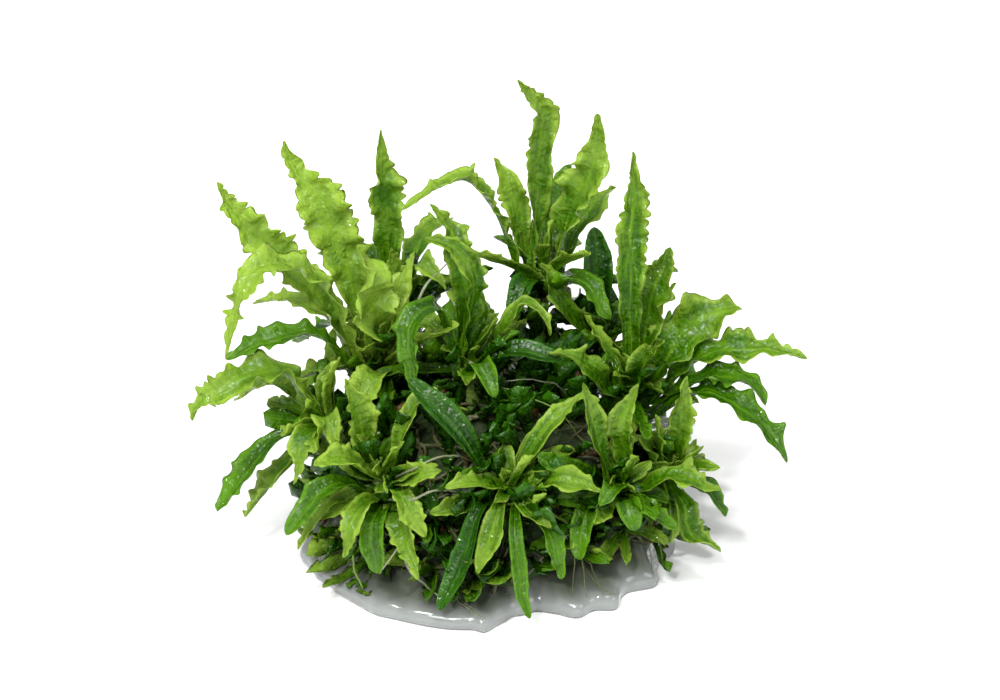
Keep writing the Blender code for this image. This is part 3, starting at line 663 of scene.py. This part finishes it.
def tube_along(line, sides, radius):
    """A round tube along a curve, closed at both its ends."""
    ring = line.node("GeometryNodeCurvePrimitiveCircle", (), {"Resolution": sides, "Radius": 1.0})
    return line.then("GeometryNodeCurveToMesh", (), {
        "Profile Curve": ring, "Scale": radius, "Fill Caps": True})


def stalk_tree():
    """A round stalk or root along its guide line, with knots and a rounded end."""
    wire, given = new_tree("knotted_stalk", Int=["Steps", "Sides"],
                           Float=["Foot", "Tip", "Knots", "Gnarl", "Seed"])
    line = smooth_line(given.guide, given.steps)
    along = wire.node("GeometryNodeSplineParameter")
    run = along.also(1)
    spot = wire.point(run, given.seed)
    knot = (run * 2600.0 + 3.0 * spot.grain(120.0)).wave() ** 2 - 0.4
    closing = ((1 - along) * 22.0 + 0.001).within() ** 0.5
    radius = given.foot + (given.tip - given.foot) * along
    radius = radius * (1 + given.knots * knot) * closing
    line = line.moved(Offset=spot.shift(110.0) * given.gnarl * 4.0)
    tube = tube_along(line, given.sides, radius)
    rough = wire.node("GeometryNodeInputPosition").shift(900.0) * given.gnarl
    return close_tree(tube.moved(Offset=rough), given.material)


def stalk_material(name, fresh, dull, clear=0.0):
    """Wet stalk or root, mottled with a fresh and a dull colour."""
    material, place, shader = new_material(name)
    mottle = place.grain(520.0, 4.0)
    color = (1.5 * place.grain(140.0) + 0.8 * mottle - 0.65).within().blend(fresh, dull)
    feed(shader, Base_Color=color, Roughness=0.12 + 0.4 * mottle, Specular_IOR_Level=0.45,
         Transmission_Weight=clear, IOR=1.36, Normal=mottle.bump(0.5, 0.0003))
    return material


def join_meshes(parts):
    """One mesh from several, each part keeping its own material and attributes."""
    items = [set_out("part", mesh) for mesh in parts]
    with bpy.context.temp_override(active_object=items[0], selected_editable_objects=items):
        bpy.ops.object.join()
    mesh = items[0].data
    bpy.data.objects.remove(items[0])
    return mesh


def small_leaf_slot(leaf, crown, pale):
    """Upright small leaves are young; those on the clump's inner side get the old leaves' dark colour as
    painted shade.
    """
    tip = leaf["center"][-1]
    way = tip - leaf["center"][0]
    if way[2] > (YOUNG_RISE if pale < PALE_PLANTLET else PALE_YOUNG_RISE) * np.linalg.norm(way):
        return "young_leaf"
    inward = np.linalg.norm(tip[:2]) < np.linalg.norm(crown[:2]) - SHADED
    return "old_leaf" if inward else "mature_leaf"


def between(ends, share):
    """The value at a share of the way from the first to the second."""
    return ends[0] + (ends[1] - ends[0]) * share


def heart_leaf(crown, axis, number, size):
    """A small leaf of a plantlet's heart: the inner ones stand up, the outer ones lean out."""
    share = number / (HEART_LEAVES - 1)
    turn = GOLDEN_ANGLE * number + 9 * crown[0] / MM
    level = np.array([math.cos(turn), math.sin(turn), 0.0])
    out = level - axis * np.dot(level, axis)
    out /= np.linalg.norm(out)
    rise = math.radians(between(HEART_RISE, share))
    length = size * between(HEART_LENGTH, share)
    half = 0.5 * size * between(HEART_WIDTH, share)
    way = out * math.cos(rise) + axis * math.sin(rise)
    side = np.cross(axis, out)
    steps = np.linspace(0.0, 1.0, len(HEART_OUTLINE))
    center = np.array([crown - axis * (0.0008 + 0.0035 * share) + out * 0.0012
                       + length * (t * way + t * t * (0.30 * out - 0.22 * axis)) for t in steps])
    above = np.cross(np.gradient(center, axis=0), side)
    above *= np.sign(np.dot(above[0], axis)) / np.linalg.norm(above, axis=1)[:, None]
    spread = half * np.array(HEART_OUTLINE)[:, None]
    return {"center": center, "left": spread * (0.3 * above + side), "right": spread * (0.3 * above - side),
            "above": above}


knotted_stalk = stalk_tree()
stem_material = stalk_material("wet_stem", (0.17, 0.29, 0.045), (0.10, 0.13, 0.03))
stem_tubes = []
for number, (plantlet, (foot, crown)) in enumerate(STEM_LINES.items()):
    bend = [between(ends, share) for *ends, share in zip(foot, crown, STEM_BEND)]
    mesh = grow(knotted_stalk, guide_line(np.array([foot, bend, crown]) * MM),
                {**STALK, "Seed": float(number), "Material": stem_material})
    stem_tubes.append(mesh.copy())
    parts = [mesh]
    top = np.array(crown) * MM
    axis = top - np.array(foot) * MM
    axis /= np.linalg.norm(axis)
    for count, leaf in enumerate(read_leaves(f"stem_{plantlet}")):
        slot = small_leaf_slot(leaf, top, PALENESS[plantlet])
        leaf = rooted(leaf, foot_on_stem(leaf, plantlet))
        parts.append(blade_mesh(leaf, slot, 31.7 * number + 3.1 * count, plantlet, SIDE_STEP))
    for count in range(HEART_LEAVES):
        leaf = heart_leaf(top, axis, count, HEART_SIZE.get(plantlet, 1.0))
        slot = "mature_leaf" if count % 4 == 3 and PALENESS[plantlet] < PALE_PLANTLET else "young_leaf"
        parts.append(blade_mesh(leaf, slot, 17.3 * number + 5.9 * count + 400, plantlet, HEART_STEP))
    finish_piece(f"sprout_{plantlet}", join_meshes(parts), "stem", f"stem_{plantlet}")


# Root tangle
# The heart of the clump: a mound of matted roots, old stems and leaf scraps, soaked and nearly black
# inside, partly their own dark and partly painted shade of the clump's hollow, with hundreds of small
# leaves pushed out of it and roots wound over it.

MOUND_SINK = 0.0011
LYING = 0.0003
MOUND_LUMPS = ((160, 0.0010), (520, 0.0005))  # fineness and depth
SMALL_LEAF_GRID = (7, 9)  # points round it and along it
SMALL_LEAF_SEAM = 0.00001
SMALL_LEAF_THICKNESS = 0.00022
LITTER_INPUTS = ("Density", "Together", "Spread", "Length", "Width", "Upright", "Stray", "Raised", "Bend",
                 "Lowest", "Highest", "Seed")
LITTER = [  # piece, slot, ground, and the inputs above; the density is in spots per square metre
    ("small_young_leaves", "young_leaf", "mound",
     (11000.0, 5, 1.1, 0.0105, 0.0028, 0.60, 0.5, 0.0020, 0.012, 0.0090, 0.019, 3)),
    ("small_mature_leaves", "mature_leaf", "mound",
     (15000.0, 3, 1.1, 0.0120, 0.0032, 0.55, 0.6, 0.0010, 0.012, 0.0080, 0.023, 5)),
    ("small_old_leaves", "old_leaf", "mound",
     (46000.0, 1, 0.6, 0.0120, 0.0038, 0.45, 0.6, 0.0, 0.012, 0.008, 0.040, 8)),
    ("small_brown_leaves", "root_tangle", "mound",
     (14000.0, 1, 0.6, 0.0070, 0.0026, 0.30, 0.9, 0.0, 0.012, 0.007, 0.040, 13)),
    # Leaves lie on the jelly along the tangle's foot, most of them at the front left.
    ("fallen_young_leaf", "young_leaf", "front_left_foot",
     (150000.0, 1, 0.5, 0.0105, 0.0036, 0.0, 0.55, 0.0, 0.014, 0.0038, 0.0075, 61)),
    ("fallen_mature_leaf", "mature_leaf", "left_and_back_foot",
     (60000.0, 1, 0.5, 0.0095, 0.0034, 0.0, 0.55, 0.0, 0.014, 0.0038, 0.0075, 64)),
    # The stems below their crowns aren't bare either: older leaves stand along them.
    ("stem_old_leaves", "old_leaf", "stems",
     (60000.0, 1, 0.7, 0.0115, 0.0046, 0.45, 0.5, 0.0, 0.012, 0.022, 0.046, 55)),
    ("stem_mature_leaves", "mature_leaf", "stems",
     (40000.0, 1, 0.7, 0.0115, 0.0042, 0.45, 0.5, 0.0, 0.012, 0.022, 0.046, 89)),
]
MOUND_HEART = (0.0, 0.0, 0.008)
WOUND_STEPS = 18
WOUND_SIDES = 6
WOUND_WOBBLE = 0.014
WOUND_ROOT = {"Length": 0.022, "Loose": 0.0026, "Lowest": 0.0048}


def matted_material():
    """Soaked root mat from black-brown to moss green, its near black partly painted shade of the hollow."""
    material, place, shader = new_material("soaked_root_mat")
    fibre = place.grain(700.0, 5.0, roughness=0.7)
    # The near-black fibres are partly the mat's own colour and partly painted shade of the clump's hollow.
    dark = fibre.blend((0.004, 0.006, 0.002), (0.035, 0.040, 0.012))
    color = (2.2 * place.grain(110.0, 3.0) - 0.7).within().blend(dark, (0.022, 0.060, 0.008))
    feed(shader, Base_Color=color, Roughness=0.2 + 0.5 * fibre, Specular_IOR_Level=0.35,
         Normal=fibre.bump(1.0, 0.0009))
    return material


mound = joined_copy("root_tangle")
bmesh.ops.subdivide_edges(mound, edges=mound.edges, cuts=5, use_grid_fill=True, smooth=0.4)
mound.normal_update()
for corner in mound.verts:
    lump = sum(noise.noise(corner.co * fineness) * depth for fineness, depth in MOUND_LUMPS)
    corner.co = corner.co - corner.normal * (MOUND_SINK - lump)
    corner.co.z = max(corner.co.z, JELLY_CROWN + LYING)
mound_mesh = mesh_of(mound)
finish_piece("root_mound", mound_mesh, "root_tangle", "root_tangle", material=matted_material())


def out_of_jelly(here, share):
    """The way up for what would lie inside the jelly, so that it lies on the jelly's top."""
    under = (JELLY_CROWN + LYING - here.axis(2)).maths("MAXIMUM", 0.0)
    return here.point(0.0, 0.0, share * under)


def chance(seed, low, high):
    """A random value for each point, or a random vector where the two limits are vectors."""
    kind, first, output = ("FLOAT_VECTOR", 0, 0) if isinstance(low, tuple) else ("FLOAT", 2, 1)
    return seed.node("FunctionNodeRandomValue", {"data_type": kind},
                     {first: low, first + 1: high, "Seed": seed}, output)


def scattered(given, inside):
    """Random spots on the guide's faces, where they are to stand."""
    return given.guide.then("GeometryNodeDistributePointsOnFaces", (), {
        "Selection": inside, "Density": given.density, "Seed": given.seed})


def planted(spots, shape, way, turned, size):
    """The shape set on every spot, standing along its way and turned from there, as real parts."""
    facing = way.node("FunctionNodeAlignRotationToVector", {"axis": "Z"}, {"Vector": way})
    facing = facing.then("FunctionNodeRotateRotation", {"rotation_space": "LOCAL"}, {"Rotate By": turned})
    placed = spots.then("GeometryNodeInstanceOnPoints", (), {
        "Instance": shape, "Rotation": facing, "Scale": size})
    return placed.then("GeometryNodeRealizeInstances")


def litter_tree():
    """Small leaves set over the ground, each turned and bent its own way."""
    wire, given = new_tree("small_leaves", Int=["Together", "Seed"], Float=[
        "Density", "Spread", "Length", "Width", "Thickness", "Upright", "Stray", "Bend", "Raised",
        "Lowest", "Highest"])
    seed = given.seed
    here = wire.node("GeometryNodeInputPosition")
    spots = scattered(given, (here.axis(2) > given.lowest) * (here.axis(2) < given.highest))
    outward = spots.also(1)

    sheet, along, across, upper = wrapped_sheet(wire, *SMALL_LEAF_GRID)
    ending = ((1 - along) * 5.0).within()
    closing = (along * (SMALL_LEAF_GRID[1] - 1)).within() * (ending * (2 - ending)) ** 0.5
    belly = 0.4 + 0.6 * (1.7 * along).within() ** 1.4
    frill = 1 + 0.09 * (along * 17.0 + across * 2.0).wave()
    pleat = (along * 19.0).wave()
    width = given.width
    lift = ((1 - 2 * upper) * given.thickness * closing * (1 - across.size())
            + width * 0.22 * across * across * closing + width * 0.16 * across * pleat * closing)
    shape = wire.point(width * 0.5 * across * belly * frill * closing, lift, given.length * along)
    sheet = store(sheet, along=along, across=across, run=along * given.length, pleat=pleat.size())
    leaf = sheet.moved(Position=shape).then("GeometryNodeMergeByDistance", (), {"Distance": SMALL_LEAF_SEAM})

    aim = (outward * (1 - given.upright) + wire.point(0.0, 0.0, given.upright)
           + chance(seed + 11, (-1, -1, -1), (1, 1, 1)) * given.stray)
    spots = store(spots, aim=aim).moved(Offset=aim * given.raised)
    spots = store(spots, tint=chance(seed + 41, 0.0, 1.0))
    spots = spots.then("GeometryNodeDuplicateElements", {"domain": "POINT"}, {"Amount": given.together})
    leaning = wire.point(given.spread * chance(seed + 29, 0.35, 1.1), 0.0,
                         2.4 * spots.also(1) + chance(seed + 23, 0.0, 0.9))
    leaves = planted(spots, leaf, stored(wire, "aim", "FLOAT_VECTOR"), leaning, chance(seed + 37, 0.6, 1.3))
    height = stored(wire, "along", "FLOAT")
    leaves = leaves.moved(Offset=here.shift(60.0, 1.0) * (height * height * given.bend))
    return close_tree(leaves.moved(Offset=out_of_jelly(here, 0.9)), given.material)


def part_of_mound(kept):
    """A copy of the mound, only where it is to be kept."""
    part = bmesh.new()
    part.from_mesh(mound_mesh)
    left_out = [face for face in part.faces if not kept(face.calc_center_median())]
    bmesh.ops.delete(part, geom=left_out, context="FACES")
    mesh = mound_mesh.copy()
    part.to_mesh(mesh)
    part.free()
    return mesh


grounds = {
    "mound": mound_mesh,
    "front_left_foot": part_of_mound(lambda spot: spot.x < 0.002 and spot.y < 0.004),
    "left_and_back_foot": part_of_mound(lambda spot: spot.x < 0.002 or spot.y > 0.004),
    "stems": join_meshes(stem_tubes),
}
small_leaves = litter_tree()
brown = stalk_material("sodden_brown_scrap", (0.10, 0.055, 0.015), (0.045, 0.022, 0.008))
for name, slot, ground, inputs in LITTER:
    mesh = grow(small_leaves, set_out("guide", grounds[ground].copy()), {
        **dict(zip(LITTER_INPUTS, inputs)), "Thickness": SMALL_LEAF_THICKNESS,
        "Material": brown if slot == "root_tangle" else leaf_materials[slot]})
    finish_piece(name, mesh, slot)


def strand_tree():
    """Roots wound over the mound, close to its face."""
    wire, given = new_tree("wound_roots", Int=["Seed"],
                           Float=["Density", "Length", "Radius", "Loose", "Lowest"])
    here = wire.node("GeometryNodeInputPosition")
    spots = scattered(given, here.axis(2) > given.lowest)
    half = wire.point(0.5 * given.length)
    line = wire.node("GeometryNodeCurvePrimitiveLine", (), {"Start": half * -1.0, "End": half})
    line = line.then("GeometryNodeResampleCurve", {"mode": "COUNT"}, {"Count": WOUND_STEPS})
    swirl = chance(given.seed, (0, -0.3, 0), (0, 0.3, 6.28))
    roots = planted(spots, line, spots.also(1), swirl, chance(given.seed + 9, 0.5, 1.3))
    roots = roots.moved(Offset=here.shift(70.0) * WOUND_WOBBLE)
    near = wire.node("GeometryNodeProximity", {"target_element": "FACES"}, {0: given.guide})
    up = (here - MOUND_HEART).maths("NORMALIZE")
    roots = roots.moved(Position=near + up * (here.grain(240.0) * given.loose))
    roots = roots.moved(Offset=out_of_jelly(here, 1.0))
    along = wire.node("GeometryNodeSplineParameter")
    return close_tree(tube_along(roots, WOUND_SIDES, given.radius * (1.15 - along)), given.material)


wound_roots = strand_tree()
pale_root = stalk_material("pale_root", (0.50, 0.54, 0.36), (0.24, 0.26, 0.13), clear=0.6)
dull_root = stalk_material("dull_root", (0.10, 0.11, 0.035), (0.035, 0.033, 0.012))
for name, material, density, radius, seed in (("pale", pale_root, 4500.0, 0.00028, 21),
                                              ("dull", dull_root, 30000.0, 0.00042, 34)):
    mesh = grow(wound_roots, set_out("guide", mound_mesh.copy()), {
        **WOUND_ROOT, "Density": density, "Radius": radius, "Seed": seed, "Material": material})
    finish_piece(f"{name}_wound_roots", mesh, "root_tangle")


# Loose roots
# Single roots and thin stalks that stand out of the clump or run down into the jelly: round and
# tapered, the pale ones translucent, drawn out straight where the clump was pulled from its cup.

ROOT_RADIUS = 0.00045  # of a root of size 1
ROOT = {"Steps": 26, "Sides": 8, "Knots": 0.05, "Gnarl": 0.0004}
LOOSE_ROOTS = [  # colour, size at foot and tip, and points in millimetres
    ("pale", 0.75, 0.35, [(-16, 6, 50), (-13.7, 8, 54.2), (-11.1, 10, 56.2), (-8.7, 12, 58.1)]),
    ("pale", 0.5, 0.15, [(14, -2, 35), (12.2, -4, 37.8), (7, -7, 40.2), (2, -8, 40.5)]),
    ("stem", 0.35, 0.3, [(-2, -4, 36), (0, -6, 37.9), (6, -10, 38.4), (12.1, -12, 36), (16, -13, 31)]),
    ("pale", 0.5, 0.25, [(-8.4, -18, 34.9), (-9.2, -15, 37.1), (-10.9, -12, 37.6), (-12, -9, 36)]),
    ("pale", 0.6, 0.3, [(-20, -22, 26), (-16.1, -27, 30.6), (-12.6, -27, 32.8), (-8.8, -24, 31.9),
                        (-4, -19, 28)]),
    ("pale", 0.7, 0.3, [(-23, -22, 22), (-16.9, -29, 25), (-12.6, -30, 27.3), (-8, -27, 25.9),
                        (-3, -23, 22)]),
    ("pale", 0.55, 0.3, [(-13, -26, 21), (-17.4, -30, 17.8), (-19.5, -32, 15.1), (-22.1, -32, 11.1)]),
    ("pale", 0.7, 0.3, [(-19, -24, 14), (-17, -31, 11.4), (-13.1, -33, 7.6), (-9.8, -33.8, 4)]),
    ("stem", 0.7, 0.5, [(3, -24, 25), (5.1, -26, 23.8), (9.8, -25, 21.3), (13.8, -24, 17.4), (17, -21, 13)]),
    ("dull", 0.35, 0.15, [(14, -20, 15), (15.2, -25, 13.9), (15.7, -29, 11.6), (15.3, -30, 4)]),
    ("dull", 0.35, 0.15, [(15, -20, 15), (16.4, -25, 13.9), (17.3, -29, 11.6), (18, -31, 3.8)]),
    ("dull", 0.35, 0.15, [(16, -20, 15), (17.8, -25, 13.9), (19.1, -28, 9.9), (21.5, -29.5, 3.8)]),
    ("dull", 0.3, 0.12, [(16, -22, 10), (18.5, -26.5, 7), (22, -28, 4.2), (25, -28.5, 3.7)]),
    ("dull", 0.4, 0.15, [(27, -13, 13), (29.9, -18, 12.3), (30.8, -22, 10), (31.3, -21.6, 4)]),
    ("dull", 0.4, 0.15, [(28, -11, 12), (32, -16, 11.2), (32.9, -20, 9.3), (33.9, -17.9, 4)]),
    ("pale", 0.4, 0.15, [(-10, -26, 6), (-7.7, -31.5, 4.2), (-5.3, -35.2, 3.8), (-3.3, -36.8, 3.2)]),
    ("pale", 0.4, 0.15, [(-8, -26, 6), (-6.5, -31.5, 4.2), (-4.1, -34.6, 3.7), (-1.8, -37.0, 3.0)]),
    ("pale", 0.35, 0.15, [(-9, -26, 6), (-7, -32, 4.0), (-5.0, -34.0, 3.7), (-2.8, -36.0, 3.3)]),
    ("stem", 0.6, 0.4, [(-22, -18, 24), (-27, -24, 17), (-28, -27, 10), (-26, -28, 4.5)]),
    ("pale", 0.5, 0.2, [(24, 20, 12), (28, 25, 8), (30, 27, 4.5), (31, 28, 3.4)]),
    ("pale", 0.5, 0.2, [(-8, 26, 12), (-10, 31, 8), (-9, 34, 4.2), (-7, 35, 3.5)]),
    ("pale", 0.6, 0.25, [(-24, 16, 16), (-29, 21, 12), (-31, 23, 6), (-32, 22, 3.6)]),
]
root_materials = {"pale": pale_root, "stem": stem_material, "dull": dull_root}
parts = [grow(knotted_stalk, guide_line(np.array(points) * MM),
              {**ROOT, "Foot": foot * ROOT_RADIUS, "Tip": tip * ROOT_RADIUS, "Seed": 3.0 * number,
               "Material": root_materials[color]})
         for number, (color, foot, tip, points) in enumerate(LOOSE_ROOTS)]
finish_piece("loose_roots", join_meshes(parts), "root_tangle")


# Jelly lumps
# Torn lumps of the same jelly, clear and wet. They came away from the cup with the clump and stick
# among its leaves and roots.

JELLY_LUMPS = [  # centre and half sizes in millimetres
    ((15.2, 17.5, 49.5), (2.2, 2.2, 3.0)), ((33.0, -4.0, 28.0), (3.0, 2.6, 2.4)),
    ((-33.0, -8.0, 30.0), (2.6, 2.6, 2.2)), ((14.5, -20.5, 13.5), (3.0, 2.4, 2.6)),
    ((-14.0, 14.0, 40.0), (2.6, 2.4, 2.2)), ((22.0, 22.0, 22.0), (2.8, 2.6, 2.2)),
]
lumps = bmesh.new()
for number, (center, sizes) in enumerate(JELLY_LUMPS):
    ball = bmesh.ops.create_icosphere(lumps, subdivisions=4, radius=1.0)
    for corner in ball["verts"]:
        way = corner.co.copy()
        swell = 1 + 0.4 * noise.noise(way * 1.1 + Vector((number, 0, 0))) + 0.05 * noise.noise(way * 2.6)
        corner.co = Vector([c * MM + w * s * MM * swell for c, w, s in zip(center, way, sizes)])
clear_jelly, place, shader = new_material("clear_culture_jelly")
feed(shader, Base_Color=place.grain(160.0, 3.0).blend((0.78, 0.84, 0.74), (0.93, 0.96, 0.92)),
     Roughness=0.03 + 0.06 * place.grain(500.0), IOR=1.34, Transmission_Weight=0.92, Coat_Weight=0.5,
     Coat_Roughness=0.03, Normal=place.grain(300.0).bump(0.15, 0.0003))
finish_piece("jelly_lumps", mesh_of(lumps), "culture_gel", material=clear_jelly)


# Room
# A white table and a white surround, a wide soft lamp at the front left, a weaker one at the right
# and three small bright ones for the wet glints. The camera looks down on the clump's front.

TABLE_SIZE = 6.0
TABLE_DROP = 0.0002
SURROUND = 0.54
LAMPS = [  # place in metres, size, power in watts
    ((-1.00, -2.10, 2.80), 1.70, 92.0),
    ((2.20, -1.00, 1.80), 1.60, 22.0),
    ((0.30, -0.70, 1.50), 0.14, 11.0),
    ((-0.60, -0.20, 1.50), 0.14, 11.0),
    ((-0.35, -1.30, 1.20), 0.14, 11.0),
]
LAMP_AIM = Vector((0, 0, 0.04))
VIEW_AIM = Vector((0.001, 0.0, 0.0434))
VIEW_DISTANCE = 0.7
VIEW_DOWN = math.radians(26.0)
LENS = 126.0  # millimetres, as the sensor
SENSOR = 36.0


def aimed(name, data, place, target):
    """A lamp or a camera at its place, looking at its target."""
    item = set_out(name, data)
    item.location = place
    item.rotation_euler = (target - Vector(place)).to_track_quat("-Z", "Y").to_euler()
    return item


bpy.ops.mesh.primitive_plane_add(size=TABLE_SIZE, location=(0, 0, -TABLE_DROP))
floor = bpy.context.object
floor.name = "white_table"
table, _, shader = new_material("matt_white_table")
feed(shader, Base_Color=(0.93, 0.93, 0.93, 1), Roughness=0.75)
floor.data.materials.append(table)

world = bpy.data.worlds.new("white_surround")
world.use_nodes = True
feed(world.node_tree.nodes["Background"], Color=(1, 1, 1, 1), Strength=SURROUND)
bpy.context.scene.world = world
bpy.context.scene.view_settings.view_transform = "Standard"

for number, (place, width, power) in enumerate(LAMPS):
    lamp = bpy.data.lights.new(f"lamp_{number + 1}", "AREA")
    lamp.shape = "DISK"
    lamp.size = width
    lamp.energy = power
    aimed(lamp.name, lamp, place, LAMP_AIM)

lens = bpy.data.cameras.new("camera")
lens.lens = LENS
lens.sensor_width = SENSOR
lens.clip_start = 0.01
back = Vector((0, -math.cos(VIEW_DOWN), math.sin(VIEW_DOWN)))
bpy.context.scene.camera = aimed("camera", lens, VIEW_AIM + VIEW_DISTANCE * back, VIEW_AIM)
